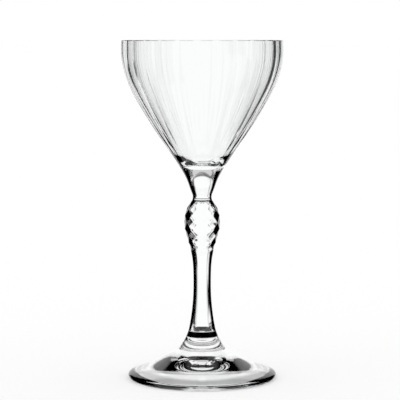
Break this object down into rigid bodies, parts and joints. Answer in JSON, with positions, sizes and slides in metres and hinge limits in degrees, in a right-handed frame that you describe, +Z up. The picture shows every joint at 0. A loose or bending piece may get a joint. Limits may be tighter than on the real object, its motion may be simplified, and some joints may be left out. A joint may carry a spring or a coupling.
{
  "type": "nick and nora glass",
  "caption": "Stemmed cocktail glass with a small deep fluted bowl, a diamond-cut knop, a slim faceted leg and a round foot.",
  "frame": {"origin": "on the glass's axis, in the plane of the flat ring that the foot stands on", "axes": "+Z up along the axis, from the foot to the rim; -Y is the side that the picture shows"},
  "size_m": [0.0736, 0.0736, 0.155],
  "materials": {
    "bowl_glass": "fire-polished clear glass",
    "stem_glass": "fire-polished clear glass with soft pressed cuts",
    "foot_glass": "fire-polished clear glass"
  },
  "bodies": {
    "root": {"bowl": "bowl_glass", "stem": "stem_glass", "foot": "foot_glass"}
  },
  "joints": []
}
